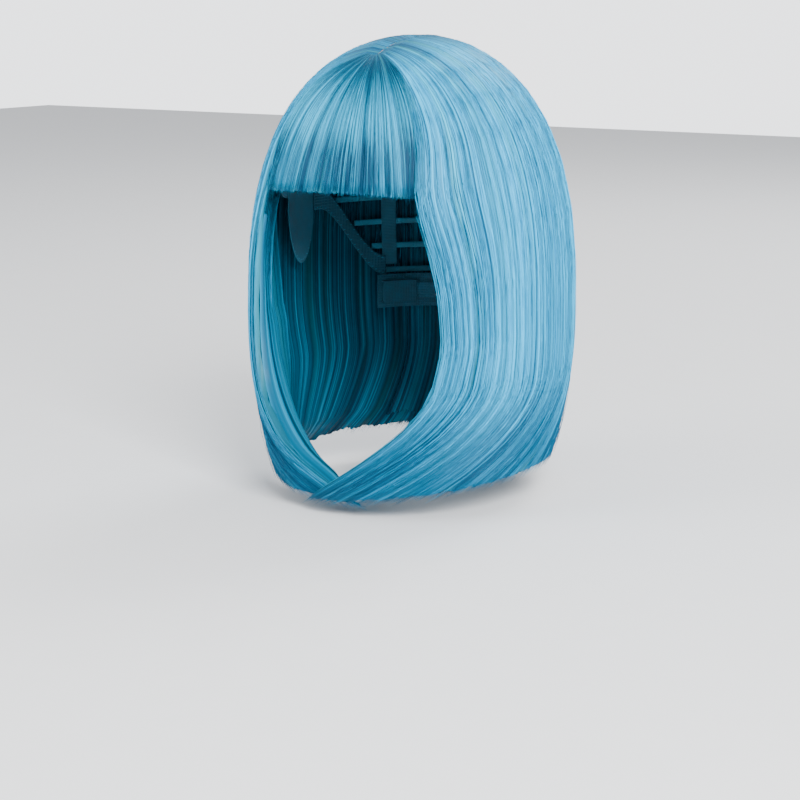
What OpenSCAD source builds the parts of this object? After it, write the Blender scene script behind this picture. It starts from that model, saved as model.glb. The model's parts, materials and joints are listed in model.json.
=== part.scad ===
// Straight bob wig with a full fringe, on a machine-sewn cap.
// Frame: the wearer faces -Y, the wearer's left is +X, up is +Z. The origin is the
// middle of the head's circumference plane, which runs just above the brows.
// A bearing is an angle round the head: 0 at the nape, 90 over the left ear, 180 at the face.

/* [Head] */
// Half of the cap's inside width
head_half_w = 77; // [75:0.5:78]
// Half of the cap's inside length
head_half_d = 95; // [93:0.5:96]
// Height of the cap's inside above the brow line
head_top = 99; // [96:0.5:100]

/* [Hair] */
// Half of the hair's width
hair_half_w = 98; // [97:0.5:104]
// Half of the hair's depth, face to back
hair_half_d = 114; // [113:0.5:120]
// Height of the crown hair above the brow line, before its lift
hair_top = 103.5; // [103.5:0.5:108]
// Extra height of the hair over the back of the parting
crown_lift = 6; // [5:0.5:9]
// Drop of the back tips below the brow line
back_drop = 157; // [145:1:175]
// Drop of the front tips below the brow line
front_drop = 171; // [160:1:190]
// Height of the fringe's cut edge above the brow line
fringe_edge = 20; // [14:1:26]

/* [Parting] */
// Length of the skin patch, front to back
patch_length = 60; // [50:1:64]
// Width of the skin patch
patch_width = 26; // [20:1:30]

/* [Nape adjusters] */
// Radius of the nape band's inner face
nape_r = 60.6; // [60:0.1:61.5]
// Height of the nape band
nape_band_h = 22; // [18:1:24]
// Height of the elastic straps
strap_h = 10; // [8:1:11]
// Degrees that each strap can be drawn in
strap_travel = 18; // [10:1:18]

/* [Comb clips] */
// Length of a clip's base
clip_length = 32; // [28:1:34]
// Number of teeth on a clip
clip_teeth = 9; // [7:1:11]
// Length of a tooth
tooth_length = 11; // [9:0.5:12]

/* [Hidden] */
$fn = 48;

hair_blue = [0.42, 0.76, 0.90];
under_blue = [0.20, 0.50, 0.68];
net_blue = [0.16, 0.34, 0.46];
skin_tone = [0.86, 0.80, 0.76];
elastic_blue = [0.14, 0.26, 0.36];
plastic_clear = [0.80, 0.86, 0.90];
steel = [0.62, 0.63, 0.66];

// The hair's outer surface is a rounded dome that stands on a slightly tapering curtain
hair_y = 5;
dome_base = -60;
dome_power = 2.5;
lift_y = 12;
lift_reach = 55;
tuck_start = -67;
tuck_reach = 110;
tuck_amount = 0.195;
tuck_power = 1.9;

// The part line, which the hair on top fans out from
part_front_y = -36;
part_back_y = 9;
root_u = 0.013;

// Bearings of the hair's seams, and the forward swing of the tips
back_seam = 31;
temple_seam = 108;
face_edge = 137;
nape_half = 40;
seam_gap = 0.5;
swing = 42;
swing_start = -95;
swing_reach = 76;

// Layers, measured inwards from the hair's outer surface. Each is thin at its roots
// and thickens on its way down.
layer_gap = 1.3;
top_root_t = 2;
top_gain = 4.6;
under_root_t = 2.2;
under_gain = 10;
temple_gain = 5.6;
temple_bulk = 16;
nape_lock_t = 4;
fringe_root_t = 2;
fringe_gain = 2.6;
fringe_sink_mid = 0.6;
fringe_sink_corner = 4.5;
under_u = 0.76;
under_tip_u = 1.96;
temple_tip_u = 1.97;
nape_u = 1.02;
nape_tip_u = 1.86;

// The cap's inside follows the head
cap_y = 6;
cap_power = 2.3;
nape_taper = 0.20;
side_taper = 0.12;
lining_t = 0.8;
net_lift = 1.3;
net_t = 0.6;
weft_lift = 2.2;
weft_t = 1.3;
weft_h = 3.6;
net_hole = 0.05;
net_side_foot = 24;
net_front_foot = 46;
band_side_top = 26;
band_front_top = 49;
band_h = 19;
band_end = 113;
patch_t = 0.7;
patch_depth = 3.2;
backing_depth = 4.2;
ribbon_half = 3.4;
ribbon_top = 22;
weft_z = [56, 43, 30, 16, 2, -14, -30, -46];
weft_reach = [118, 118, 112, 104, 88, 66, 58, 52];

// The nape parts are rings about one upright axis
nape_y = 30;
nape_z = -61;
nape_band_t = 1.2;
nape_end = 70;
nape_clear = 0.02;
loop_count = 4;
loop_first = 3;
loop_pitch = 4.6;
loop_t = 0.6;
loop_w = 1.2;
channel_start = 44;
channel_end = 68;
channel_wall = 0.8;
channel_rim = 1;
channel_play = 1.2;

// At rest each adjuster is let out. Drawn in, its hook reaches the first loop and its strap's
// end stays inside the channel.
strap_t = 0.7;
strap_gap = 0.9;
hook_t = 0.8;
hook_h = 8;
hook_tip_h = 3.6;
hook_lip = 0.7;
hook_tip = loop_first - 0.5 + strap_travel;
hook_root = hook_tip + 10.5;
strap_start = hook_tip + 6.5;
strap_end = channel_start + 2 + strap_travel;

// The comb clips, inside the front band at the temples
clip_bearing = 116;
clip_at = [59.5, -41, 27];
pin_r = 0.6;
pin_l = 3.6;
pin_fit = 0.05;
pin_head_r = 1.1;
pin_head_t = 0.45;
bar_r = 1.3;
bar_play = 0.3;
lug_t = 0.8;
lug_r = 1.7;
plate_back = 2.2;
plate_t = 0.6;
plate_foot = -3.4;
plate_h = 6.4;
sew_hole_r = 0.5;
sew_pitch = 8;
tooth_w = 1.1;
tooth_t = 0.6;
tooth_margin = 2;
tooth_set = 1.1;
grip_h = 1.6;
grip_t = 0.8;

function clamp01(t) = max(0, min(1, t));
function smooth(t) = let(c = clamp01(t)) c*c*(3 - 2*c);
function mix(a, b, t) = a + (b - a)*t;
function steps(a, b, n) = [for (i = [0:n]) mix(a, b, i/n)];

// Where on the part line the hair at one bearing is rooted
function root_y(az) = mix(part_back_y, part_front_y, smooth((abs(az) - 50)/85));

// Height of the cut tips at one bearing
function tip_z(az) = -mix(back_drop, front_drop, smooth((abs(az) - 50)/90));

// Degrees that a strand has swung towards the chin by one height
function swing_at(az, z) =
    swing*sin(90*min(1, abs(az)/face_edge))*pow(clamp01((swing_start - z)/swing_reach), 1.8);

// Share of the full girth that is left at one height
function tuck(z) = 1 - tuck_amount*pow(max(0, (tuck_start - z)/tuck_reach), tuck_power);

// A point of the hair: u is 0 at the part line, 1 at the dome's foot and 2 at the tips,
// and depth is measured inwards from the outer surface
function hair_point(az, u, depth) =
    u <= 1 ? dome_point(az, u, depth) : curtain_point(az, u, depth);

function dome_point(az, u, depth) =
    let(w = hair_half_w - depth, d = hair_half_d - depth, h = hair_top - dome_base - depth,
        rho = pow(sin(90*u), 2/dome_power),
        x = rho*w*sin(az),
        y = (1 - rho)*(root_y(az) - hair_y) + rho*d*cos(az),
        q = min(1, norm([x/w, y/d])),
        lift = crown_lift*(1 - q*q)*exp(-(x*x + pow(y + hair_y - lift_y, 2))/pow(lift_reach, 2)))
    [x, y + hair_y, dome_base + h*pow(1 - pow(q, dome_power), 1/dome_power) + lift];

function curtain_point(az, u, depth) =
    let(z = mix(dome_base, tip_z(az), u - 1), turn = az + sign(az)*swing_at(az, z))
    [tuck(z)*(hair_half_w - depth)*sin(turn),
     hair_y + tuck(z)*(hair_half_d - depth)*cos(turn), z];

// A point of the cap at one bearing and height, lifted off the head
function cap_taper(az, z) =
    1 - pow(max(0, -z/100), 1.6)*mix(nape_taper, side_taper, smooth(abs(az)/100));
function cap_point(az, z, lift) =
    let(r = z > 0 ? pow(1 - pow(min(1, z/(head_top + lift)), cap_power), 1/cap_power) : cap_taper(az, z))
    [r*(head_half_w + lift)*sin(az), cap_y + r*(head_half_d + lift)*cos(az), z];
function cap_height(u, lift) = (head_top + lift)*pow(cos(90*u), 2/cap_power);

// A closed skin between two grids of points, whose rows run down and columns go round.
// It can close on itself as a ring.
module skin(outer, inner, ring = false) {
    rows = len(outer);
    cols = len(outer[0]);
    spans = ring ? rows : rows - 1;
    function at(i, j, k) = (k*rows + i % rows)*cols + j;
    points = [for (grid = [outer, inner]) for (line = grid) for (p = line) p];
    walls = [for (i = [0:spans - 1]) for (j = [0:cols - 2])
        let(a = at(i, j, 0), b = at(i + 1, j, 0), c = at(i + 1, j + 1, 0), d = at(i, j + 1, 0),
            ai = at(i, j, 1), bi = at(i + 1, j, 1), ci = at(i + 1, j + 1, 1), di = at(i, j + 1, 1))
        for (f = [[a, d, c], [a, c, b], [ai, ci, di], [ai, bi, ci]]) f];
    ends = [for (i = [0:spans - 1])
        let(a = at(i, 0, 0), b = at(i + 1, 0, 0), c = at(i + 1, cols - 1, 0), d = at(i, cols - 1, 0),
            ai = at(i, 0, 1), bi = at(i + 1, 0, 1), ci = at(i + 1, cols - 1, 1), di = at(i, cols - 1, 1))
        for (f = [[a, b, bi], [a, bi, ai], [c, d, di], [c, di, ci]]) f];
    sides = ring ? [] : [for (j = [0:cols - 2])
        let(a = at(0, j, 0), d = at(0, j + 1, 0), ai = at(0, j, 1), di = at(0, j + 1, 1),
            b = at(rows - 1, j, 0), c = at(rows - 1, j + 1, 0),
            bi = at(rows - 1, j, 1), ci = at(rows - 1, j + 1, 1))
        for (f = [[d, a, ai], [d, ai, di], [b, c, ci], [b, ci, bi]]) f];
    polyhedron(points, concat(walls, ends, sides), convexity = 6);
}

// A lock of hair between two bearings. It runs down from u0 to its tips, whose u is a
// function of the bearing. Depths are functions of (bearing, u).
module lock(az0, az1, na, u0, tips, nu, outer_depth, inner_depth) {
    azs = steps(az0, az1, na);
    function grid(depth) =
        [for (az = azs) [for (u = steps(u0, tips(az), nu)) hair_point(az, u, depth(az, u))]];
    skin(grid(outer_depth), grid(inner_depth));
}

// A band of the cap between two bearings. Its edges are functions of the bearing.
module cap_band(az0, az1, na, top, foot, nz, lift, t) {
    azs = steps(az0, az1, na);
    function grid(k) = [for (az = azs) [for (z = steps(top(az), foot(az), nz)) cap_point(az, z, k)]];
    skin(grid(lift + t), grid(lift));
}

// A piece of a ring about the nape's upright axis. Angles run from the back to the left.
module nape_ring(r, t, z0, z1, a0, a1) {
    translate([0, nape_y, z0])
        rotate([0, 0, 90 - a1])
            rotate_extrude(angle = a1 - a0, $fn = 180)
                translate([r, 0]) square([t, z1 - z0]);
}

module on_side(side) {
    mirror([side < 0 ? 1 : 0, 0, 0]) children();
}

// ---- Hair ----

surface = function(az, u) 0;
top_t = function(az, u) top_root_t + top_gain*smooth((u - 0.42)/0.58);
under_top = function(az, u) top_t(az, u) + layer_gap;
under_foot = function(az, u) under_top(az, u) + under_root_t + under_gain*smooth((u - 0.9)/1.1);
temple_foot = function(az, u) under_top(az, u) + under_root_t + temple_gain*smooth((u - 0.75)/0.4)
    + temple_bulk*smooth((u - 1.05)/0.9)*smooth((az - 96)/40);
nape_top = function(az, u) under_foot(az, u) + layer_gap;
nape_foot = function(az, u) nape_top(az, u) + nape_lock_t;

// The fringe lies a little deeper at its corners, where the side hair falls over it
fringe_top = function(az, u)
    mix(fringe_sink_mid, fringe_sink_corner, smooth(abs(az - 180)/46))*smooth((u - 0.3)/0.45);
fringe_foot = function(az, u)
    fringe_top(az, u) + fringe_root_t + fringe_gain*smooth((u - 0.3)/0.45);

full_fall = function(az) 2;
under_fall = function(az) under_tip_u;
temple_fall = function(az) temple_tip_u;
nape_fall = function(az) nape_tip_u;

// The fringe is cut level, so its fall is where the dome at each bearing meets the cut's height.
// The point's share q of the girth there fixes rho, by the quadratic whose parts are below.
fringe_fall = function(az)
    let(q = pow(1 - pow((fringe_edge - dome_base)/(hair_top - dome_base), dome_power), 1/dome_power),
        root = (root_y(az) - hair_y)/hair_half_d,
        reach = cos(az) - root,
        a = pow(sin(az), 2) + reach*reach,
        b = root*reach,
        rho = (sqrt(b*b - a*(root*root - q*q)) - b)/a)
    asin(pow(rho, dome_power/2))/90;

module hair_fringe() {
    color(hair_blue)
        lock(face_edge + seam_gap, 360 - face_edge - seam_gap, 16,
             root_u, fringe_fall, 9, fringe_top, fringe_foot);
}

module hair_side(side) {
    color(hair_blue) on_side(side)
        lock(back_seam, face_edge, 17, root_u, full_fall, 18, surface, top_t);
}

module hair_back() {
    color(hair_blue)
        lock(-back_seam + seam_gap, back_seam - seam_gap, 10, root_u, full_fall, 18, surface, top_t);
}

module hair_under(side) {
    color(under_blue) on_side(side)
        lock(back_seam, temple_seam, 11, under_u, under_fall, 11, under_top, under_foot);
}

module hair_temple(side) {
    color(under_blue) on_side(side)
        lock(temple_seam + seam_gap, face_edge, 6, under_u, temple_fall, 14, under_top, temple_foot);
}

module hair_under_back() {
    color(under_blue)
        lock(-back_seam + seam_gap, back_seam - seam_gap, 9, under_u, under_fall, 11,
             under_top, under_foot);
}

module hair_nape() {
    color(under_blue)
        lock(-nape_half, nape_half, 10, nape_u, nape_fall, 7, nape_top, nape_foot);
}

// ---- Cap ----

// The skin patch under the part line is an oval that follows the crown
patch_mid_y = (part_front_y + part_back_y)/2;
function crown_z(x, y, depth) =
    let(q = norm([x/(hair_half_w - depth), (y - hair_y)/(hair_half_d - depth)]),
        lift = crown_lift*(1 - q*q)*exp(-(x*x + pow(y - lift_y, 2))/pow(lift_reach, 2)))
    dome_base + (hair_top - dome_base - depth)*pow(1 - pow(q, dome_power), 1/dome_power) + lift;

module crown_patch(width, length, depth, t) {
    half = length/2;
    ys = steps(-0.985, 0.985, 12);
    function grid(k) = [for (s = ys) [for (r = steps(-1, 1, 6))
        let(x = r*width/2*sqrt(1 - s*s), y = patch_mid_y - s*half) [x, y, crown_z(x, y, k)]]];
    skin(grid(depth), grid(depth + t));
}

module skin_patch() {
    color(skin_tone) crown_patch(patch_width, patch_length, patch_depth, patch_t);
}

module skin_backing() {
    color(net_blue) crown_patch(patch_width - 4, patch_length - 4, backing_depth, patch_t);
}

// Edge of the net: it ends higher at the back, where open wefts take over
net_foot = function(az) mix(net_side_foot, net_front_foot, smooth((abs(az) - 70)/90));

module crown_net() {
    count = 60;
    azs = [for (i = [0:count - 1]) 360*i/count];
    function turn(az) = az > 180 ? az - 360 : az;
    function height(az, u, k) =
        let(low = net_foot(turn(az)), high = cap_height(net_hole, k)) mix(high, low, pow(u, 1.5));
    function grid(k) = [for (az = azs) [for (u = steps(0, 1, 9)) cap_point(az, height(az, u, k), k)]];
    color(net_blue) skin(grid(net_lift + net_t), grid(net_lift), ring = true);
}

// The front band rises from the temples to the middle of the forehead
band_top = function(az) mix(band_side_top, band_front_top, smooth((70 - abs(az - 180))/50));
band_foot = function(az) band_top(az) - band_h;

module front_band() {
    color(elastic_blue) cap_band(band_end, 360 - band_end, 20, band_top, band_foot, 2, 0, lining_t);
}

// The ear tabs hang in front of the ears and taper to a round foot
tab_half = 11;
tab_mid = 101;
tab_top = function(az) 26 - 6*pow((az - tab_mid)/tab_half, 2);
tab_foot = function(az) -36 + 40*(1 - sqrt(max(0, 1 - pow((az - tab_mid)/tab_half, 2))));

module ear_tab(side) {
    color(elastic_blue) on_side(side)
        cap_band(tab_mid - tab_half + 0.4, tab_mid + tab_half - 0.4, 8, tab_top, tab_foot, 5, 0, lining_t);
}

module ear_stay(side) {
    top = function(az) 12;
    foot = function(az) -30;
    color(plastic_clear) on_side(side)
        cap_band(tab_mid - 1.4, tab_mid + 1.4, 2, top, foot, 6, lining_t + 0.1, 0.4);
}

// The side bands run over the ears, from the tabs down to the nape band
side_top = function(az) mix(-38, 9, smooth((az - 52)/34));
side_foot = function(az) side_top(az) - 13;

module side_band(side) {
    color(elastic_blue) on_side(side)
        cap_band(52, tab_mid - tab_half - 0.4, 10, side_top, side_foot, 2, 0, lining_t);
}

module nape_band() {
    color(elastic_blue)
        nape_ring(nape_r, nape_band_t, nape_z - nape_band_h/2, nape_z + nape_band_h/2,
                  -nape_end, nape_end);
}

module ribbon(az, low) {
    top = function(a) ribbon_top;
    foot = function(a) low;
    color(net_blue)
        cap_band(az - ribbon_half, az + ribbon_half, 2, top, foot, 8, net_lift, net_t);
}

module size_label() {
    color([0.93, 0.93, 0.90]) translate([-9, cap_y + head_half_d - 0.9, -8]) cube([18, 0.3, 12]);
}

// Each weft is a sewn strip that goes round the back of the cap, from temple to temple
module weft_row(number) {
    reach = weft_reach[number - 1];
    top = function(az) weft_z[number - 1];
    foot = function(az) top(az) - weft_h;
    color(under_blue)
        cap_band(-reach, reach, round(reach/2.8), top, foot, 1, weft_lift, weft_t);
}

// ---- Nape adjusters ----

strap_r = nape_r - strap_gap - strap_t;
channel_r = strap_r - 0.8 - channel_wall;

module strap(side) {
    color(net_blue) on_side(side)
        nape_ring(strap_r, strap_t, nape_z - strap_h/2, nape_z + strap_h/2, strap_start, strap_end);
}

module strap_hook(side) {
    r = strap_r - hook_t - nape_clear;
    tip = [nape_z - hook_tip_h/2, nape_z + hook_tip_h/2];
    color(plastic_clear) on_side(side) {
        nape_ring(r, hook_t, nape_z - hook_h/2, nape_z + hook_h/2, hook_tip + 3, hook_root);
        nape_ring(r, hook_t, tip[0], tip[1], hook_tip, hook_tip + 4);
        nape_ring(r, hook_t + hook_lip, tip[0], tip[1], hook_tip, hook_tip + 0.9);
    }
}

// The channel is a pocket, open at both ends, that the strap slides in
module strap_channel(side) {
    edge = strap_h/2 + channel_play;
    color(elastic_blue) on_side(side) {
        nape_ring(channel_r, channel_wall, nape_z - edge - channel_rim, nape_z + edge + channel_rim,
                  channel_start, channel_end);
        for (z = [nape_z - edge - channel_rim, nape_z + edge])
            nape_ring(channel_r, nape_r - channel_r, z, z + channel_rim, channel_start, channel_end);
    }
}

module loop_row(side) {
    color(elastic_blue) on_side(side)
        for (i = [0:loop_count - 1])
            let(a = loop_first + i*loop_pitch)
                nape_ring(nape_r - loop_t - nape_clear, loop_t, nape_z - hook_h/2, nape_z + hook_h/2,
                          a, a + loop_w);
}

// ---- Comb clips ----

// Places a clip that is drawn along X, with its teeth hanging down and its outside to +Y
module at_clip(side) {
    on_side(side) translate(clip_at) rotate([0, 0, -clip_bearing]) children();
}

module clip_lug(x) {
    translate([x, 0, 0]) rotate([0, 90, 0]) difference() {
        union() {
            cylinder(r = lug_r, h = lug_t);
            translate([-lug_r, 0, 0]) cube([2*lug_r, plate_back, lug_t]);
        }
        translate([0, 0, -1]) cylinder(r = pin_r, h = lug_t + 2);
    }
}

module clip_base(side) {
    half = clip_length/2;
    color(steel) at_clip(side) {
        difference() {
            translate([-half, plate_back - plate_t, plate_foot]) cube([clip_length, plate_t, plate_h]);
            for (i = [-1.5:1:1.5])
                translate([i*sew_pitch, plate_back + 1, 2])
                    rotate([90, 0, 0]) cylinder(r = sew_hole_r, h = plate_back + 1);
        }
        clip_lug(-half);
        clip_lug(half - lug_t);
    }
}

module clip_rivets(side) {
    reach = clip_length/2 + pin_head_t;
    color(steel) at_clip(side)
        for (s = [-1, 1])
            translate([s*reach, 0, 0]) rotate([0, -90*s, 0]) {
                cylinder(r = pin_r, h = pin_l);
                cylinder(r = pin_head_r, h = pin_head_t - 0.05);
            }
}

module clip_comb(side) {
    bar = clip_length - 2*lug_t - 2*bar_play;
    pitch = (bar - 2*tooth_margin)/(clip_teeth - 1);
    color(steel) at_clip(side) difference() {
        union() {
            translate([-bar/2, 0, 0]) rotate([0, 90, 0]) cylinder(r = bar_r, h = bar);
            for (i = [0:clip_teeth - 1])
                translate([-bar/2 + tooth_margin + i*pitch, 0, 0]) {
                    translate([-tooth_w/2, -tooth_set, -tooth_length])
                        cube([tooth_w, tooth_t, tooth_length]);
                    translate([0, tooth_t - tooth_set, -tooth_length])
                        rotate([90, 0, 0]) cylinder(d = tooth_w, h = tooth_t);
                }
        }
        for (s = [-1, 1])
            translate([s*(bar/2 + 1), 0, 0]) rotate([0, -90*s, 0])
                cylinder(r = pin_r + pin_fit, h = pin_l + 1.4);
    }
}

module clip_grip(side) {
    color([0.9, 0.9, 0.88]) at_clip(side)
        translate([-clip_length/2 + 3, plate_back - plate_t - 0.05 - grip_t, plate_foot + 0.2])
            cube([clip_length - 6, grip_t, grip_h]);
}

hair_fringe();
hair_side(1);  // hair_side_left
hair_side(-1);  // hair_side_right
hair_back();
hair_under(1);  // hair_under_left
hair_under(-1);  // hair_under_right
hair_temple(1);  // hair_temple_left
hair_temple(-1);  // hair_temple_right
hair_under_back();
hair_nape();
skin_patch();
skin_backing();
crown_net();
front_band();
size_label();
ear_tab(1);  // ear_tab_left
ear_tab(-1);  // ear_tab_right
ear_stay(1);  // ear_stay_left
ear_stay(-1);  // ear_stay_right
side_band(1);  // side_band_left
side_band(-1);  // side_band_right
nape_band();
ribbon(0, -49);  // ribbon_centre
ribbon(24, -49);  // ribbon_back_left
ribbon(-24, -49);  // ribbon_back_right
ribbon(50, -44);  // ribbon_side_left
ribbon(-50, -44);  // ribbon_side_right
weft_row(1);  // weft_row_1
weft_row(2);  // weft_row_2
weft_row(3);  // weft_row_3
weft_row(4);  // weft_row_4
weft_row(5);  // weft_row_5
weft_row(6);  // weft_row_6
weft_row(7);  // weft_row_7
weft_row(8);  // weft_row_8
strap_channel(1);  // strap_channel_left
strap_channel(-1);  // strap_channel_right
loop_row(1);  // loop_row_left
loop_row(-1);  // loop_row_right
strap(1);  // strap_left
strap(-1);  // strap_right
strap_hook(1);  // strap_hook_left
strap_hook(-1);  // strap_hook_right
clip_base(1);  // clip_base_left
clip_base(-1);  // clip_base_right
clip_rivets(1);  // clip_rivets_left
clip_rivets(-1);  // clip_rivets_right
clip_comb(1);  // clip_comb_left
clip_comb(-1);  // clip_comb_right
clip_grip(1);  // clip_grip_left
clip_grip(-1);  // clip_grip_right
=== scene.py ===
"""Straight bob wig with a full fringe, built around its packed cap and hair solids.

Lengths are in metres. A bearing is an angle in degrees round the head: 0 at the nape, 90 over
the left ear, 180 at the face and 270 over the right ear. The fall u of a strand is 0 at the part
line, 1 where the dome of the head ends and 2 at the cut tips.
"""

import json
from math import ceil, cos, pi, radians, sin

import bpy
import numpy as np
from bpy.props import FloatProperty, FloatVectorProperty, IntProperty, PointerProperty
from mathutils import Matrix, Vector


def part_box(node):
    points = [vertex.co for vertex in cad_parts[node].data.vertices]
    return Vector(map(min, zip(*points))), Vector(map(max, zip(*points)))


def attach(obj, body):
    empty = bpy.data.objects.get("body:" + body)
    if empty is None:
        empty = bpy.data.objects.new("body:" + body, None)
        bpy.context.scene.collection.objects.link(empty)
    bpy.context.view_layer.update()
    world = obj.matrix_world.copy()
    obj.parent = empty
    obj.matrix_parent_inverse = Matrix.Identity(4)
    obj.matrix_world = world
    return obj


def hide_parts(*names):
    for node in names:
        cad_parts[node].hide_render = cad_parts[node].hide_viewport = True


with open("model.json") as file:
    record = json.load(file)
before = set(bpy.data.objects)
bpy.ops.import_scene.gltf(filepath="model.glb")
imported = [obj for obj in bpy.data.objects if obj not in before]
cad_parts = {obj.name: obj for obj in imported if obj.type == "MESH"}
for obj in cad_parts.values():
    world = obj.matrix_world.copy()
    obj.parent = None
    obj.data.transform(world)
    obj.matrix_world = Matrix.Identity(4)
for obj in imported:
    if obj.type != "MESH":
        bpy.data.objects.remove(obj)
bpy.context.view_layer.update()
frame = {"nodes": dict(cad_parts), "record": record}

bl_info = {
    "name": "Bob wig builder",
    "version": (1, 0, 0),
    "blender": (4, 5, 0),
    "location": "3D View > Sidebar > Bob wig",
    "description": "Builds the hair, cap, adjusters and clips of a straight bob wig",
    "category": "Object",
}

CAP = "cap"
FRONT = 180.0
MM = 0.001

# The hair's outer surface, as the solids hold it
SIDE_LOW, SIDE_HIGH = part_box("hair_side_left")
BACK_LOW, BACK_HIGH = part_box("hair_back")
HAIR_Y = 5*MM
HALF_W = SIDE_HIGH.x
HALF_D = BACK_HIGH.y - HAIR_Y
DOME_BASE = -60*MM
CROWN_LIFT = 6*MM
DOME_TOP = SIDE_HIGH.z - CROWN_LIFT + 0.2*MM
DOME_POWER = 2.5
LIFT_Y = 12*MM
LIFT_REACH = 55*MM
TUCK_START, TUCK_REACH, TUCK_AMOUNT, TUCK_POWER = -67*MM, 110*MM, 0.195, 1.9
PART_FRONT, PART_BACK = -36*MM, 9*MM
SWING, SWING_START, SWING_REACH, SWING_POWER = 58, -95*MM, 76*MM, 1.7
CROSSING = 4.5*MM
FRINGE_CUT = 21*MM
FACE_EDGE = 137.0
BACK_SEAM = 31.0
TEMPLE_SEAM = 108.0
LAYER_GAP = 1.3*MM

# The cap's inside, as the solids hold it
CAP_Y = 6*MM
CAP_HALF_W, CAP_HALF_D, CAP_TOP = 77*MM, 95*MM, 99*MM
CAP_POWER = 2.3
NAPE_TAPER, SIDE_TAPER = 0.20, 0.12
LINING = 0.8*MM
NET_LIFT, NET_HOLE = 1.3*MM, 0.05
WEFT_LIFT, WEFT_T, WEFT_H = 2.2*MM, 1.3*MM, 3.6*MM
WEFTS = ((56, 118), (43, 118), (30, 112), (16, 104), (2, 88), (-14, 66), (-30, 58), (-46, 52))
BAND_END, BAND_H = 113, 19*MM
TAB_MID, TAB_HALF, TAB_ARCH = 101, 10.6, 11
SIDE_START, SIDE_H = 52, 13*MM
NAPE_Y, NAPE_R = 30*MM, 60.6*MM
NAPE_END, NAPE_LOW, NAPE_HIGH = 70, -72*MM, -50*MM
LOOPS, LOOP_FIRST, LOOP_STEP, LOOP_Z = 4, 3.6, 4.6, -61*MM

GIRTH_PER_DEGREE = 1.86*MM
CAP_GIRTH, NAPE_GIRTH = 1.55, 1.06    # millimetres a degree
FALL_LENGTH = 155*MM
MIRROR = (-1, 1, 1)


# ---------------------------------------------------------------- shapes

def smooth(t):
    """The cubic step 3t^2 - 2t^3, held at 0 below 0 and at 1 above 1."""
    t = np.clip(t, 0, 1)
    return t*t*(3 - 2*t)


def mix(a, b, t):
    """A straight blend from a at t = 0 to b at t = 1."""
    return a + (b - a)*t


def from_back(bearing):
    """The bearing's distance from the back of the head, 0 to 180 either way round."""
    turned = np.mod(bearing, 360)
    return np.where(turned > 180, 360 - turned, turned)


def swing(bearing, z):
    """Degrees by which strands at height z have swung towards the chin: a quarter sine of the
    bearing times a power of the depth below the cheek."""
    share = np.sin(np.radians(90*np.minimum(1, from_back(bearing)/FACE_EDGE)))
    return SWING*share*np.clip((SWING_START - z)/SWING_REACH, 0, 1.1)**SWING_POWER


def face_lean(bearing, u):
    """Degrees by which the hair at the face edge leans: forward over the fringe's corner, back
    beside the cheek. Each is a bell of the fall, and both fade out away from the edge."""
    away = from_back(bearing)
    near = smooth((away - 97)/40)*(1 - smooth((away - 138)/8))
    return near*(4*np.exp(-((u - 0.70)/0.15)**2) - 4.5*np.exp(-((u - 1.06)/0.26)**2))


def tuck(z):
    """The share of the full girth left at height z: 1 less a power of the depth below the jaw."""
    return 1 - TUCK_AMOUNT*np.maximum(0, (TUCK_START - z)/TUCK_REACH)**TUCK_POWER


def tip_height(bearing):
    """Height of the cut tips: a smooth step from the back drop to the front drop."""
    away = from_back(bearing)
    return mix(BACK_LOW.z, SIDE_LOW.z, smooth((away - 50)/90))


def dome_height(x, y, q, depth):
    """Height of the dome over x, y, where q is the share of the girth. It is raised a little
    behind the part line, and depth lowers it."""
    lift = CROWN_LIFT*(1 - q*q)*np.exp(-(x**2 + (y - LIFT_Y)**2)/LIFT_REACH**2)
    return DOME_BASE + (DOME_TOP - DOME_BASE - depth)*(1 - q**DOME_POWER)**(1/DOME_POWER) + lift


def hair_point(bearing, u, depth, under=False):
    """Points of the hair. On the dome (u up to 1) a superellipse of power 2.5 is opened from its
    pole to the part line and raised a little behind it. Below, the girth ellipse hangs straight,
    swings forward and tucks in. Depth shrinks every half-axis. The tips of both sides cross
    under the chin, where the side with under set passes deeper."""
    bearing, u, depth = np.broadcast_arrays(*[np.asarray(v, float) for v in (bearing, u, depth)])
    side = np.where(np.mod(bearing, 360) > 180, -1, 1)
    bearing = bearing + side*face_lean(bearing, u)
    a = np.radians(bearing)
    w, d = HALF_W - depth, HALF_D - depth
    rho = np.sin(np.radians(90*np.clip(u, 0, 1)))**(2/DOME_POWER)
    root = mix(PART_BACK, PART_FRONT, smooth((from_back(bearing) - 50)/85)) - HAIR_Y
    x = rho*w*np.sin(a)
    y = (1 - rho)*root + rho*d*np.cos(a)
    z = dome_height(x, y + HAIR_Y, np.minimum(1, np.hypot(x/w, y/d)), depth)
    z_low = mix(DOME_BASE, tip_height(bearing), np.maximum(0, u - 1))
    turned = bearing + side*swing(bearing, z_low)
    if under:
        sunk = CROSSING*smooth((turned - 158)/18)
        w, d = w - sunk, d - sunk
    turned = np.radians(turned)
    shrink = tuck(z_low)
    hangs = u > 1
    return np.stack([np.where(hangs, shrink*w*np.sin(turned), x),
                     HAIR_Y + np.where(hangs, shrink*d*np.cos(turned), y),
                     np.where(hangs, z_low, z)], -1)


def fringe_fall(bearing, z):
    """The fall at which the dome meets height z. There the girth's share is q, and the point's
    rho solves a quadratic, because each strand starts from the part line and not the pole."""
    q = (1 - ((z - DOME_BASE)/(DOME_TOP - DOME_BASE))**DOME_POWER)**(1/DOME_POWER)
    a = np.radians(bearing)
    root = (PART_FRONT - HAIR_Y)/HALF_D
    reach = np.cos(a) - root
    square, half = np.sin(a)**2 + reach**2, root*reach
    rho = (np.sqrt(half**2 - square*(root**2 - q**2)) - half)/square
    return np.degrees(np.arcsin(rho**(DOME_POWER/2)))/90


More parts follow.
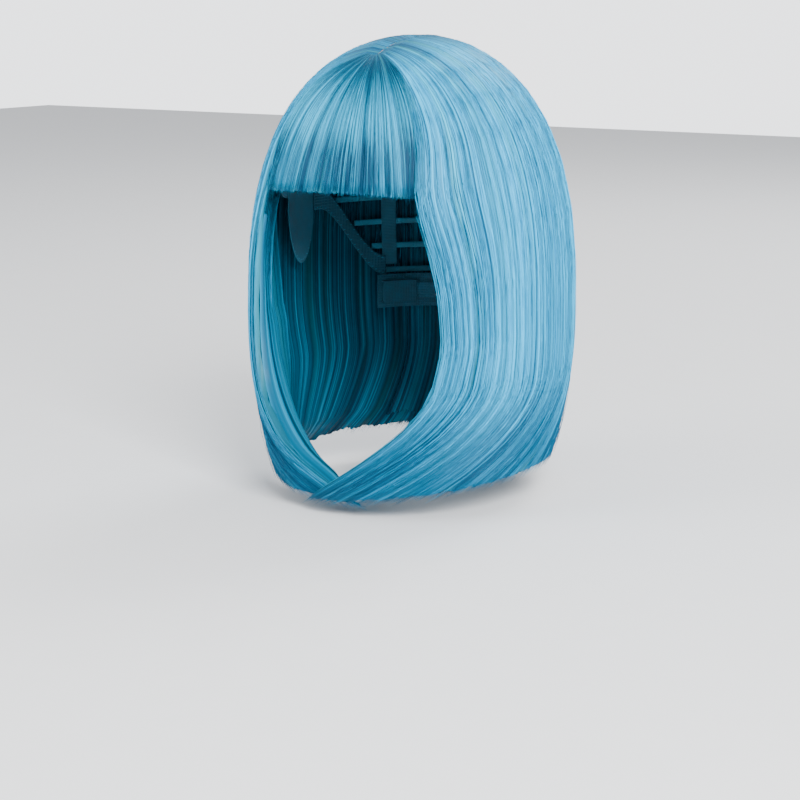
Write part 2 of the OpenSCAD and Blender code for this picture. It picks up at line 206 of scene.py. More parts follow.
def cap_point(bearing, z, lift):
    """Points of the cap at bearing and height: a superellipse of power 2.3 above the brow line,
    and a gentle taper below it, each half-axis grown by lift."""
    bearing, z, lift = np.broadcast_arrays(*[np.asarray(v, float) for v in (bearing, z, lift)])
    a = np.radians(bearing)
    up = np.clip(z/(CAP_TOP + lift), 0, 1)
    dome = np.maximum(0, 1 - up**CAP_POWER)**(1/CAP_POWER)
    taper = mix(NAPE_TAPER, SIDE_TAPER, smooth(from_back(bearing)/100))
    r = np.where(z > 0, dome, 1 - np.maximum(0, -z/0.1)**1.6*taper)
    return np.stack([r*(CAP_HALF_W + lift)*np.sin(a),
                     CAP_Y + r*(CAP_HALF_D + lift)*np.cos(a), z + 0*a], -1)


def noise(seed, x, y):
    """Smooth noise from -1 to 1: seeded random heights on a square lattice that repeats every
    512 cells, blended between lattice points by cubic steps."""
    size = 512
    lattice = np.random.default_rng(seed).random((size, size))*2 - 1
    x, y = np.broadcast_arrays(x, y)
    ix, iy = np.floor(x).astype(int), np.floor(y).astype(int)
    fx, fy = smooth(x - ix), smooth(y - iy)
    low = mix(lattice[ix % size, iy % size], lattice[(ix + 1) % size, iy % size], fx)
    high = mix(lattice[ix % size, (iy + 1) % size], lattice[(ix + 1) % size, (iy + 1) % size], fx)
    return mix(low, high, fy)


def strand_relief(across, along):
    """Height of the combed surface and a 0 to 1 tone. Four widths of strand noise, long in the
    fall and drifting sideways a little, are added. Narrow straight partings are cut where a
    noise of the bearing alone crosses zero, they open and close along the fall, and one long
    parting runs down beside each cheek. The fringe's tones are the most uneven."""
    x = across + 0.4*MM*noise(11, across/0.040, along/0.160)
    locks = noise(12, x/0.0105, along/0.45)
    ropes = noise(13, x/0.0040, along/0.30)
    threads = noise(14, x/0.0015, along/0.22)
    fibres = noise(15, x/0.0007, along/0.15)
    parted = 0
    for seed, pitch, width in ((16, 0.0100, 0.035), (19, 0.0043, 0.055)):
        cut = np.exp(-(noise(seed, x/pitch, 0*along)/width)**2)
        parted = parted + cut*smooth(noise(seed + 1, x/0.007, along/0.09)*1.3 + 0.3)
    cheek = np.abs(across) - 0.2335 - 1.2*MM*noise(18, across*0, along/0.07)
    parted += 1.8*np.exp(-(cheek/0.0011)**2)*smooth(along/0.03 - 2)*smooth(6.8 - along/0.032)
    parted = np.minimum(parted, 1.8)
    height = MM*(0.30*locks + 0.18*ropes + 0.12*threads + 0.06*fibres - 0.5*parted)
    combed = 1 + 0.55*smooth((np.abs(across) - 0.252)/0.008)
    # The tone follows the same noises as the height: partly random streaks, partly a painted highlight
    # on the ridges and painted shade in the partings.
    tone = 0.62 + combed*(0.07*locks + 0.10*ropes + 0.20*threads + 0.22*fibres) - 0.62*parted
    return height, np.clip(tone, 0, 1)


# ---------------------------------------------------------------- meshes

def wig_material(name):
    """This script's own material of a name, kept apart from the solids' plain materials."""
    return bpy.data.materials.get(f"wig {name}")


def new_piece(name, shapes, materials, sharp=None):
    """Puts shapes into one mesh. A shape is (points (n, 3), faces, uv (n, 2), tones (n)), with
    faces as a list of index arrays that have one row a face. Each shape takes the material of
    its own place in the list, or the last one."""
    mesh = bpy.data.meshes.new(name)
    first, loops, sizes, slots = 0, [], [], []
    for number, (points, faces, _, _) in enumerate(shapes):
        for face in faces:
            loops.append(face.ravel() + first)
            sizes.append(np.full(len(face), face.shape[1]))
            slots.append(np.full(len(face), min(number, len(materials) - 1)))
        first += len(points)
    points, uv, tones = [np.concatenate([shape[i] for shape in shapes]) for i in (0, 2, 3)]
    loops, sizes, slots = [np.concatenate(part) for part in (loops, sizes, slots)]
    mesh.vertices.add(len(points))
    mesh.vertices.foreach_set("co", points.astype(np.float32).ravel())
    mesh.loops.add(len(loops))
    mesh.loops.foreach_set("vertex_index", loops.astype(np.int32))
    mesh.polygons.add(len(sizes))
    starts = np.concatenate([[0], np.cumsum(sizes)[:-1]])
    mesh.polygons.foreach_set("loop_start", starts.astype(np.int32))
    mesh.polygons.foreach_set("use_smooth", np.ones(len(sizes), bool))
    mesh.update(calc_edges=True)
    for material in materials:
        mesh.materials.append(wig_material(material))
    mesh.polygons.foreach_set("material_index", slots.astype(np.int32))
    layer = mesh.uv_layers.new(name="flow")
    layer.data.foreach_set("uv", uv[loops].astype(np.float32).ravel())
    attribute = mesh.attributes.new("tone", "FLOAT", "POINT")
    attribute.data.foreach_set("value", tones.astype(np.float32))
    mesh.validate()
    if sharp is not None:
        mesh.set_sharp_from_angle(angle=radians(sharp))
    piece = bpy.data.objects.new(name, mesh)
    bpy.context.scene.collection.objects.link(piece)
    return piece


def own(piece, body, slot, *nodes):
    """Fastens a piece to its body and hides the nodes it stands for. slot is not used."""
    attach(piece, body)
    if nodes:
        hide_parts(*nodes)
    return piece


def loop_grid(columns, ring):
    """Quads between neighbouring columns of points, each column a closed ring of points."""
    c, r = np.meshgrid(np.arange(columns - 1), np.arange(ring), indexing="ij")
    step = (r + 1) % ring
    return np.stack([c*ring + r, c*ring + step, (c + 1)*ring + step, (c + 1)*ring + r],
                    -1).reshape(-1, 4)


def end_strip(first, front, back):
    """Triangles that close one end of a sheet, between its front row of points and its fewer
    back points. Both run from the top down, and the strip steps each in proportion."""
    faces, k = [], 0
    for j in range(front - 1):
        faces.append((first + j, first + j + 1, first + front + back - 1 - k))
        want = round((j + 1)*(back - 1)/(front - 1))
        while k < want:
            faces.append((first + j + 1, first + front + back - 2 - k, first + front + back - 1 - k))
            k += 1
    return np.array(faces)


def turned_over(faces):
    """The same faces, looking the other way."""
    return [face[:, ::-1] for face in faces]


def closed_sheet(front, back, uv, tones, flip=False):
    """A closed sheet as a shape. front is (columns, rows, 3) and runs down, back has the same
    columns and runs up again, and uv and tones hold both. Both ends are closed by strips."""
    (columns, rows), back_rows = front.shape[:2], back.shape[1]
    ring = rows + back_rows
    first, last = end_strip(0, rows, back_rows), end_strip((columns - 1)*ring, rows, back_rows)
    faces = [loop_grid(columns, ring), first[:, ::-1], last]
    return (np.concatenate([front, back], 1).reshape(-1, 3), turned_over(faces) if flip else faces,
            uv.reshape(-1, 2), tones.ravel())


def spread(u):
    """How open the hair lies: little at the part line, fully from the dome's middle down."""
    return smooth(0.1 + 0.95*np.sin(np.radians(90*np.clip(u, 0, 1))))


def hair_sheet(b0, b1, spacing, u0, tips, rows, outer, inner, back_rows=9, mirrored=False,
               shading=lambda u: 0*u):
    """A closed sheet of combed hair between two bearings, as a shape. Each column runs down the
    outside over the falls and back up the inside. outer and inner give the depth at
    (bearing, u, edge), tips gives the fall of the cut ends and u0 that of the roots, the relief
    is laid on both faces, and shading is added to the tone."""
    count = ceil(abs(b1 - b0)*GIRTH_PER_DEGREE/spacing) + 1
    bearing = np.linspace(b0, b1, count)[:, None]
    edge = np.linspace(0, 1, count)[:, None]
    root, cut = u0(bearing) if callable(u0) else u0, tips(bearing)
    u_front = mix(root, cut, np.linspace(0, 1, rows)[None, :])
    u_back = mix(root, cut, np.linspace(1, 0, back_rows)[None, :])
    across = bearing*GIRTH_PER_DEGREE*(-1 if mirrored else 1)
    height, tone = strand_relief(across, u_front*FALL_LENGTH)
    front = hair_point(bearing, u_front, outer(bearing, u_front, edge) - height*spread(u_front),
                       mirrored)
    back_height, back_tone = strand_relief(across + 0.7, u_back*FALL_LENGTH)
    back = hair_point(bearing, u_back, inner(bearing, u_back, edge) + 0.7*back_height, mirrored)
    falls = np.concatenate([u_front, u_back], 1)
    # Painted shade: the inside face keeps four fifths of its tone, and shading adds the painted shade
    # along the fall.
    tones = np.concatenate([tone, 0.8*back_tone], 1) + shading(falls)
    uv = np.stack([across + 0*falls, falls*FALL_LENGTH], -1)
    if mirrored:
        front, back = front*MIRROR, back*MIRROR
    return closed_sheet(front, back, uv, np.clip(tones, 0, 1), flip=not mirrored)


def tubes(centre, normal, width, flat=0.6, sides=3, tones=None, uv=None, flip=False):
    """Closed tubes as one shape. centre and normal are (tubes, rings, 3) and width is
    (tubes, rings). A ring is an ellipse about the centre line, flattened along the normal."""
    count, rings = width.shape
    along = np.gradient(centre, axis=1)
    along /= np.linalg.norm(along, axis=-1, keepdims=True)
    across = np.cross(along, normal)
    across /= np.linalg.norm(across, axis=-1, keepdims=True)
    normal = np.cross(across, along)
    turns = np.linspace(0, 2*pi, sides, endpoint=False) + pi/2
    half = width[..., None]/2
    ring = np.stack([centre + half*(cos(a)*across + flat*sin(a)*normal) for a in turns], 2)
    index = np.arange(count*rings*sides).reshape(count, rings, sides)
    step = (np.arange(sides) + 1) % sides
    quads = np.stack([index[:, :-1], index[:, :-1][:, :, step], index[:, 1:][:, :, step],
                      index[:, 1:]], -1).reshape(-1, 4)
    faces = [quads, index[:, 0, ::-1], index[:, -1]]
    tones = np.full((count, rings), 0.5) if tones is None else tones + 0*width
    uv = np.zeros((count, rings, 2)) if uv is None else uv
    return (ring.reshape(-1, 3), turned_over(faces) if flip else faces,
            np.repeat(uv, sides, 1).reshape(-1, 2), np.repeat(tones, sides, 1).ravel())


def loose_strands(seed, bearing, u0, u1, depth, width, rings=14, mirrored=False, wander=1.0,
                  tone=0.56, shading=lambda u: 0*u):
    """Fine tapering strands as a shape, one for each entry of the arrays. depth(bearing, u) is
    the combed surface that they lie on. A strand keeps its bearing but for a slow sideways
    drift, which is wide on one strand in fourteen, and follows the surface's relief and tone.
    One tip in twenty lifts away, and every strand is narrow near the part line and at its tip."""
    count = len(bearing)
    rng = np.random.default_rng(seed)
    t = np.linspace(0, 1, rings)[None, :]
    phase, cycles = rng.random((count, 1))*2*pi, rng.uniform(0.3, 1.0, (count, 1))
    loose = wander*np.where(rng.random((count, 1)) < 0.07, 1.2, 0.2)
    b = bearing[:, None] + loose*(0.6*np.sin(phase + cycles*2*pi*t)
                                  + rng.normal(0, 1, (count, 1))*(t - 0.3))
    u = mix(u0[:, None], u1[:, None], t)
    height, below = strand_relief(b*GIRTH_PER_DEGREE*(-1 if mirrored else 1), u*FALL_LENGTH)
    flick = np.where(rng.random((count, 1)) < 0.05, rng.uniform(0.5, 2.5, (count, 1)), 0)
    lifted = MM*(0.10 + 0.35*rng.random((count, 1)) + 0.4*loose*np.sin(pi*t)
                 + flick*smooth((t - 0.6)/0.4))
    d = depth(b, u) - height*spread(u) - lifted
    centre = hair_point(b, u, d, mirrored)
    normal = centre - hair_point(b, u, d + 2*MM, mirrored)
    if mirrored:
        centre, normal = centre*MIRROR, normal*MIRROR
    swell = width[:, None]*np.minimum(1, 0.3 + 3*t)*np.minimum(1, 0.15 + 9*(1 - t))
    swell = swell*(0.2 + 0.8*spread(u))
    uv = np.stack([b*GIRTH_PER_DEGREE, u*FALL_LENGTH], -1)
    # The strands take the surface's tone, with its painted shade in the partings, and the painted
    # shade of shading.
    tones = (rng.normal(tone, 0.19, (count, 1)) + 0.6*(below - 0.6) + shading(u)).clip(0, 1)
    return tubes(centre, normal, swell, tones=tones, uv=uv)


def both_faces(values):
    """The values of a sheet's front face, and after them the same ones turned for its back."""
    return np.concatenate([values, values[:, ::-1]], 1)


def sewn_sheet(front, back, x, z, raised, mirrored):
    """A closed sheet of the cap, with its flow map and tones alike on both faces. raised is the
    relief as a share of the height that gives the palest tone."""
    uv = np.stack([x + 0*z, z], -1)
    shown = 0.5 + np.clip(raised, -1, 1)*0.3
    if mirrored:
        front, back = front*MIRROR, back*MIRROR
    return closed_sheet(front, back, both_faces(uv), both_faces(shown), flip=not mirrored)


def cap_sheet(b0, b1, top, foot, lift, thickness, relief, mirrored=False, spacing=0.8*MM, rows=14):
    """A closed band of the cap between two bearings, as a shape. top and foot give its edges'
    heights, and relief(x, z) in metres is raised on both faces. Its edges are drawn thin."""
    count = ceil(abs(b1 - b0)*CAP_GIRTH*MM/spacing) + 1
    bearing = np.linspace(b0, b1, count)[:, None]
    t = np.linspace(0, 1, rows)[None, :]
    z = mix(top(bearing), foot(bearing), t)
    x = bearing*CAP_GIRTH*MM
    edge = np.minimum(1, 0.45 + 5*np.sin(pi*t)) * np.minimum(1, 0.45 + 40*np.sin(
        pi*np.linspace(0, 1, count)[:, None]))
    raised = relief(x, z)
    half, middle = thickness/2*edge, lift + thickness/2
    front = cap_point(bearing, z, middle + half + raised)
    back = cap_point(bearing, z, middle - half - raised)[:, ::-1]
    return sewn_sheet(front, back, x, z, raised/(0.3*MM), mirrored)


def cap_stitches(bearings, heights, lift, length, mirrored=False, slant=0.0, radius=0.22*MM):
    """A row of short thread stitches as a shape. Each runs round the cap for length degrees,
    slants by a height, and dips at both ends."""
    t = np.linspace(0, 1, 5)[None, :]
    b = bearings[:, None] + (t - 0.5)*length
    z = heights[:, None] + slant*(t - 0.5)
    centre = cap_point(b, z, lift + 0.12*MM*(1 - np.sin(pi*t)))
    normal = centre - cap_point(b, z, lift + 2*MM)
    if mirrored:
        centre, normal = centre*MIRROR, normal*MIRROR
    width = 2*radius*np.minimum(1, 0.5 + np.sin(pi*t)) + 0*b
    return tubes(centre, normal, width, flat=0.9, sides=5)


def nape_sheet(a0, a1, z0, z1, r0, r1, relief, mirrored=False, rows=16):
    """A closed piece of a ring about the nape's upright axis, as a shape."""
    count = ceil(abs(a1 - a0)*NAPE_GIRTH*MM/(0.6*MM)) + 2
    a = np.radians(np.linspace(a0, a1, count))[:, None]
    t = np.linspace(0, 1, rows)[None, :]
    z = mix(z1, z0, t) + 0*a
    edge = 1 - 0.5*(np.abs(2*t - 1)**12)
    raised = relief(a*NAPE_R, z)
    middle, half = (r0 + r1)/2, (r1 - r0)/2*edge

    def ring(r):
        return np.stack([r*np.sin(a), NAPE_Y + r*np.cos(a), z], -1)

    front, back = ring(middle + half + raised), ring(middle - half - raised)[:, ::-1]
    return sewn_sheet(front, back, a*NAPE_R, z, raised/(0.2*MM), mirrored)


# ---------------------------------------------------------------- materials

def group_tree(name, inputs, outputs):
    """A new shader node group with float or colour sockets, and its input and output nodes."""
    tree = bpy.data.node_groups.new(name, "ShaderNodeTree")
    kinds = {float: "NodeSocketFloat", tuple: "NodeSocketColor"}
    for label, value in inputs.items():
        socket = tree.interface.new_socket(label, in_out="INPUT", socket_type=kinds[type(value)])
        socket.default_value = value
    for label, kind in outputs.items():
        tree.interface.new_socket(label, in_out="OUTPUT", socket_type=kinds[kind])
    return tree, tree.nodes.new("NodeGroupInput"), tree.nodes.new("NodeGroupOutput")


def add(tree, kind, links=None, **settings):
    """Adds a node, sets its properties, and fills its sockets with values or links."""
    node = tree.nodes.new(kind)
    for key, value in settings.items():
        setattr(node, key, value)
    for key, value in (links or {}).items():
        if isinstance(value, bpy.types.NodeSocket):
            tree.links.new(value, node.inputs[key])
        else:
            node.inputs[key].default_value = value
    return node


def math_node(tree, operation, a, b=0.0, clamp=False):
    """One Math node's output socket."""
    return add(tree, "ShaderNodeMath", {0: a, 1: b}, operation=operation, use_clamp=clamp).outputs[0]


def mix_colours(tree, factor, a, b):
    """One colour Mix node's output socket."""
    node = add(tree, "ShaderNodeMix", data_type="RGBA")
    for socket, value in ((0, factor), (6, a), (7, b)):
        if isinstance(value, bpy.types.NodeSocket):
            tree.links.new(value, node.inputs[socket])
        else:
            node.inputs[socket].default_value = value
    return node.outputs[2]


def strand_streaks():
    """Group: streaks that run along the fall, from the piece's own flow map. Gives a fine
    streak mask, a broad lock mask and a height for bump."""
    tree, source, result = group_tree(
        "strand streaks", {"Seed": 0.0}, {"Streak": float, "Lock": float, "Height": float})
    flow = add(tree, "ShaderNodeUVMap", uv_map="flow").outputs[0]
    parts = add(tree, "ShaderNodeSeparateXYZ", {0: flow})
    masks = []
    for pitch, run in ((1500, 5), (620, 4), (90, 3), (3000, 8)):
        x = math_node(tree, "MULTIPLY", parts.outputs[0], pitch)
        y = math_node(tree, "MULTIPLY", parts.outputs[1], run)
        place = add(tree, "ShaderNodeCombineXYZ", {0: x, 1: y, 2: source.outputs[0]}).outputs[0]
        masks.append(add(tree, "ShaderNodeTexNoise", {"Vector": place, "Scale": 1.0, "Detail": 0.0}
                         ).outputs[0])
    streak = math_node(tree, "MULTIPLY", math_node(tree, "ADD", masks[0], masks[1]), 0.5)
    for mask, label in zip((streak, masks[2], masks[3]), ("Streak", "Lock", "Height")):
        tree.links.new(mask, result.inputs[label])
    return tree


def weave():
    """Group: two families of ribs from the piece's own flow map, as a height from 0 to 1. Each
    family is a sine of the distance over its pitch in metres."""
    tree, source, result = group_tree("weave", {"Across": 0.001, "Along": 0.001}, {"Height": float})
    flow = add(tree, "ShaderNodeUVMap", uv_map="flow").outputs[0]
    parts = add(tree, "ShaderNodeSeparateXYZ", {0: flow})
    waves = []
    for axis in (0, 1):
        turn = math_node(tree, "DIVIDE", parts.outputs[axis], source.outputs[axis])
        waves.append(math_node(tree, "SINE", math_node(tree, "MULTIPLY", turn, 2*pi)))
    total = math_node(tree, "MULTIPLY_ADD", math_node(tree, "ADD", waves[0], waves[1]), 0.25)
    total.node.inputs[2].default_value = 0.5
    tree.links.new(total, result.inputs["Height"])
    return tree


def colour(rgb, alpha=1.0):
    """A four-part colour from a property's three parts."""
    return (*rgb, alpha)


def new_surface(name):
    """A new material of this script's own, as its node tree and its surface shader."""
    material = bpy.data.materials.new(f"wig {name}")
    material.use_nodes = True
    return material.node_tree, material.node_tree.nodes["Principled BSDF"]


def add_bump(tree, surface, height, strength, distance=0.3*MM):
    """Bumps a surface by a height mask."""
    relief = add(tree, "ShaderNodeBump", {"Height": height, "Strength": strength,
                                          "Distance": distance})
    tree.links.new(relief.outputs[0], surface.inputs["Normal"])


def hair_material(name, shade, mid, light, tint, roughness, seed, bump=0.25):
    """Silky fibre: the tone attribute and the streak group choose between shade, mid and light
    colours, broad locks take some of the tint, and fine streaks roughen and bump the surface."""
    tree, surface = new_surface(name)
    group = add(tree, "ShaderNodeGroup", node_tree=bpy.data.node_groups["strand streaks"])
    group.inputs["Seed"].default_value = seed
    # The tone attribute carries the painted shade and highlight laid into the hair sheets and strands.
    tone = add(tree, "ShaderNodeAttribute", attribute_name="tone").outputs["Fac"]
    fine = math_node(tree, "MULTIPLY_ADD", group.outputs["Streak"], 1.7)
    fine.node.inputs[2].default_value = -0.85
    level = math_node(tree, "ADD", tone, fine, clamp=True)
    low = add(tree, "ShaderNodeMapRange", {0: level, 1: 0.08, 2: 0.68}).outputs[0]
    high = add(tree, "ShaderNodeMapRange", {0: level, 1: 0.60, 2: 1.0}).outputs[0]
    base = mix_colours(tree, high, mix_colours(tree, low, shade, mid), light)
    tinted = add(tree, "ShaderNodeMapRange", {0: group.outputs["Lock"], 1: 0.5, 2: 0.8, 3: 0.0,
                                              4: 0.4}).outputs[0]
    tree.links.new(mix_colours(tree, tinted, base, tint), surface.inputs["Base Color"])
    rough = add(tree, "ShaderNodeMapRange", {0: group.outputs["Streak"], 3: roughness - 0.06,
                                             4: roughness + 0.08}).outputs[0]
    tree.links.new(rough, surface.inputs["Roughness"])
    add_bump(tree, surface, group.outputs["Height"], bump, 0.5*MM)
    surface.inputs["Specular IOR Level"].default_value = 0.14


def woven_material(name, base, across, along, roughness, bump):
    """Cloth: the weave group shades and bumps it, and soft noise in object space fades it."""
    tree, surface = new_surface(name)
    threads = add(tree, "ShaderNodeGroup", node_tree=bpy.data.node_groups["weave"])
    threads.inputs["Across"].default_value = across
    threads.inputs["Along"].default_value = along
    place = add(tree, "ShaderNodeTexCoord").outputs["Object"]
    fade = add(tree, "ShaderNodeTexNoise", {"Vector": place, "Scale": 160.0, "Detail": 3.0}).outputs[0]
    level = math_node(tree, "MULTIPLY", math_node(tree, "ADD", threads.outputs[0], fade), 0.5)
    dark, pale = colour([c*0.6 for c in base]), colour([min(1, c*1.5) for c in base])
    tree.links.new(mix_colours(tree, level, dark, pale), surface.inputs["Base Color"])
    rough = add(tree, "ShaderNodeMapRange", {0: fade, 3: roughness - 0.08, 4: roughness + 0.1})
    tree.links.new(rough.outputs[0], surface.inputs["Roughness"])
    add_bump(tree, surface, threads.outputs[0], bump)
    surface.inputs["Sheen Weight"].default_value = 0.05


def plain_material(name, base, roughness, metallic=0.0, grain=900.0, bump=0.2, spread=0.12):
    """A fine-grained finish: noise in object space varies the colour, roughness and height."""
    tree, surface = new_surface(name)
    place = add(tree, "ShaderNodeTexCoord").outputs["Object"]
    grains = add(tree, "ShaderNodeTexNoise",
                 {"Vector": place, "Scale": grain, "Detail": 4.0}).outputs[0]
    dark = tuple(c*(1 - spread) for c in base)
    pale = tuple(min(1, c*(1 + spread)) for c in base)
    tree.links.new(mix_colours(tree, grains, colour(dark), colour(pale)), surface.inputs["Base Color"])
    rough = add(tree, "ShaderNodeMapRange", {0: grains, 3: roughness - 0.08, 4: roughness + 0.08})
    tree.links.new(rough.outputs[0], surface.inputs["Roughness"])
    add_bump(tree, surface, grains, bump)
    surface.inputs["Metallic"].default_value = metallic


# ---------------------------------------------------------------- settings

class WigHairSettings(bpy.types.PropertyGroup):
    """Sizes and colours of the hair."""
    # Shade is mostly painted shade, laid at the partings, the roots and the tucked tips, and also
    # shows in random dark streaks.
    shade: FloatVectorProperty(name="Shade", description="Fibre colour in the partings", size=3,
                               subtype="COLOR", default=(0.001, 0.072, 0.16))
    mid: FloatVectorProperty(name="Mid", description="Fibre colour over most of the hair", size=3,
                             subtype="COLOR", default=(0.001, 0.375, 0.68))
    # Light is partly random pale streaks and partly a painted highlight on the ridges.
    light: FloatVectorProperty(name="Light", description="Fibre colour on the ridges", size=3,
                               subtype="COLOR", default=(0.003, 0.575, 0.97))
    tint: FloatVectorProperty(name="Tint", description="Greener fibre mixed into some locks",
                              size=3, subtype="COLOR", default=(0.03, 0.36, 0.38))
    spacing: FloatProperty(name="Column spacing", description="Width of a column of the top sheets",
                           default=0.21*MM, min=0.15*MM, max=1*MM, unit="LENGTH", precision=5)
    strands: IntProperty(name="Strands", description="Loose strands on each side",
                         default=1450, min=100, max=1800)
    strand_width: FloatProperty(name="Strand width", description="Widest part of a loose strand",
                                default=0.7*MM, unit="LENGTH", precision=5)


class WigCapSettings(bpy.types.PropertyGroup):
    """Sizes of the cap's cloth and threads."""
    net_threads: IntProperty(name="Net threads", description="Threads that lean each way in the net",
                             default=84, min=24, max=120)
    thread: FloatProperty(name="Net thread", description="Width of a net thread",
                          default=0.65*MM, unit="LENGTH", precision=5)
    stitch: FloatProperty(name="Stitch pitch", description="Degrees from one stitch to the next",
                          default=1.7, min=1.0, max=4.0)


# ---------------------------------------------------------------- operators

def layer_depth(u):
    """Depth of the top layer's inside before it is thinned: it thickens on its way down."""
    return 2*MM + 4.6*MM*smooth((u - 0.42)/0.58)


def root_dip(u):
    """How far the hair dips to meet the skin beside the part line."""
    return 2*MM*(1 - smooth(u/0.022))


def edge_roll(edge, wide, deep):
    """How far a face rolls in over the sheet's last columns: a quarter round."""
    s = np.clip((edge - (1 - wide))/wide, 0, 1)
    return deep*(1 - np.sqrt(np.maximum(0, 1 - s*s)))


def ragged(level, seed, broad=0.007, fine=0.008):
    """The falls of cut tips about a level, uneven over a lock and from strand to strand."""
    return lambda b: level + broad*noise(seed, b/2.3, 0*b) + fine*noise(seed + 1, b/0.27, 0*b)


def painted_root_and_tip_shade(u):
    """Painted shade: darker at the roots and a little darker towards the tucked tips."""
    return -0.45*(1 - smooth(u/0.22)) - 0.52*smooth((u - 1.15)/0.7)


def uneven_roots(seed):
    """The falls at which the top hair rises beside the part line: close to it, with bare gaps."""
    return lambda b: 0.0003 + 0.0012*smooth(
        0.3 + noise(seed, b/3.1, 0*b) + 0.7*noise(seed + 1, b/0.6, 0*b))


class WIG_OT_top_hair(bpy.types.Operator):
    """Combs the top layer: two sides and the back"""
    bl_idname = "wig.top_hair"
    bl_label = "Top hair"

    def execute(self, context):
        spacing = context.scene.wig_hair.spacing

        def inner(bearing, u, edge):
            full = layer_depth(u) + 0.5*root_dip(u)
            return mix(full, 1.3*MM, smooth((u - 1.7)/0.3))

        def outer(bearing, u, edge):
            return 0.4*MM + root_dip(u)

        def side_outer(bearing, u, edge):
            return outer(bearing, u, edge) + edge_roll(edge, 0.04, 3.0*MM)*smooth(u/0.4)

        tips = ragged(1.965, 31)
        for side, mirrored in (("left", False), ("right", True)):
            shape = hair_sheet(BACK_SEAM, FACE_EDGE, spacing, uneven_roots(51 + 2*mirrored), tips, 66,
                               side_outer, inner, mirrored=mirrored, shading=painted_root_and_tip_shade)
            piece = new_piece(f"side_hair_{side}", [shape], ["silky hair"], sharp=70)
            own(piece, CAP, "hair", f"hair_side_{side}")
        shape = hair_sheet(-BACK_SEAM, BACK_SEAM, spacing, uneven_roots(55), tips, 66, outer, inner,
                           shading=painted_root_and_tip_shade)
        own(new_piece("back_hair", [shape], ["silky hair"], sharp=70), CAP, "hair", "hair_back")
        return {"FINISHED"}


class WIG_OT_fringe(bpy.types.Operator):
    """Combs the fringe, from the front of the part line to its straight cut"""
    bl_idname = "wig.fringe"
    bl_label = "Fringe"

    def execute(self, context):
        s = context.scene.wig_hair

        def sink(bearing, u):
            corner = smooth(np.abs(bearing - FRONT)/46)
            return mix(0.6, 4.5, corner)*MM*smooth((u - 0.3)/0.45)

        def surface(bearing, u, edge=None):
            return 0.4*MM + root_dip(u) + sink(bearing, u)

        def inner(bearing, u, edge):
            full = sink(bearing, u) + 2*MM + 2.6*MM*smooth((u - 0.3)/0.45) + 0.5*root_dip(u)
            near_cut = smooth((u - fringe_fall(bearing, FRINGE_CUT) + 0.08)/0.08)
            return mix(full, sink(bearing, u) + 1.7*MM, near_cut)

        def tips(bearing):
            return ragged(fringe_fall(bearing, FRINGE_CUT) - 0.004, 33, 0.003, 0.005)(bearing)

        # Painted shade: the fringe is darker at its roots and below the middle of its fall, so a
        # lighter band stands between them like a highlight.
        def shading(u):
            return -0.66*(1 - smooth(u/0.38)) - 0.55*smooth((u - 0.40)/0.18)

        shape = hair_sheet(FACE_EDGE - 1.5, 2*FRONT - FACE_EDGE + 1.5, s.spacing, 0.020, tips, 54,
                           surface, inner, shading=shading)
        own(new_piece("fringe", [shape], ["fringe hair"], sharp=70), CAP, "hair", "hair_fringe")

        rng = np.random.default_rng(44)
        n = int(s.strands*0.8)
        bearing = rng.uniform(FACE_EDGE - 3, 2*FRONT - FACE_EDGE + 3, n)
        tip = fringe_fall(bearing, FRINGE_CUT) + rng.normal(0, 0.006, n).clip(-0.02, 0.02)
        shape = loose_strands(45, bearing, rng.uniform(0.020, 0.3, n), tip, surface,
                              s.strand_width*rng.uniform(0.35, 0.9, n), shading=shading)
        own(new_piece("fringe_strands", [shape], ["fringe strands"]), CAP, "hair")
        return {"FINISHED"}


